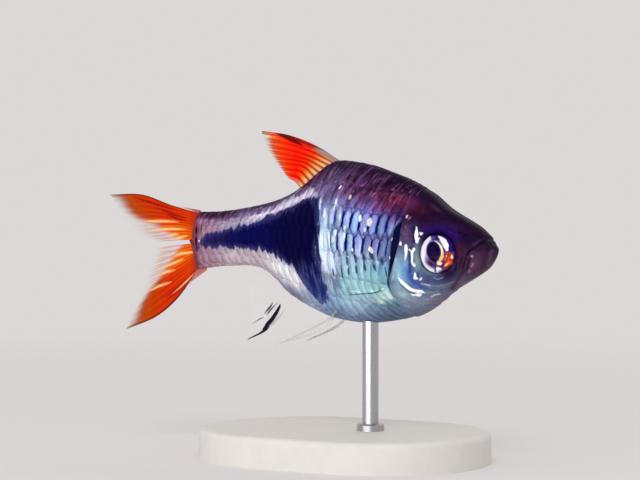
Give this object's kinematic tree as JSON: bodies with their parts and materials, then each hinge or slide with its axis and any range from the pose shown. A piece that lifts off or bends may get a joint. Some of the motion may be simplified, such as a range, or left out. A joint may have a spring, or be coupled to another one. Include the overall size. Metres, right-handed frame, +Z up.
{
  "type": "harlequin rasbora fish model",
  "caption": "Life-size still model of a harlequin rasbora, a small deep-bodied fish with a dark wedge on its flank, held over a flat oval base by one rod.",
  "frame": {"origin": "on the surface that the stand rests on, under the middle of the fish's length", "axes": "+X towards the fish's snout, +Y towards its left side, +Z up"},
  "size_m": [0.0455, 0.022, 0.0329],
  "materials": {
    "head_skin": "glossy dark violet skin",
    "gill_cover_skin": "glossy blue silver skin",
    "body_skin": "glossy violet blue scales",
    "eye": "glossy silver eye with a black pupil",
    "orange_fin": "orange red fin membrane",
    "clear_fin": "clear fin membrane with dark rays",
    "stand_board": "matt pale board",
    "stand_steel": "brushed"
  },
  "bodies": {
    "root": {"head": "head_skin", "lower_jaw": "head_skin", "gill_cover_left": "gill_cover_skin", "gill_cover_right": "gill_cover_skin", "torso": "body_skin", "tail_stalk": "body_skin", "eye_left": "eye", "eye_right": "eye", "dorsal_fin": "orange_fin", "tail_fin_upper": "orange_fin", "tail_fin_lower": "orange_fin", "anal_fin": "clear_fin", "pectoral_fin_left": "clear_fin", "pectoral_fin_right": "clear_fin", "pelvic_fin_left": "clear_fin", "pelvic_fin_right": "clear_fin", "stand_base": "stand_board", "stand_rod": "stand_steel"}
  },
  "joints": []
}
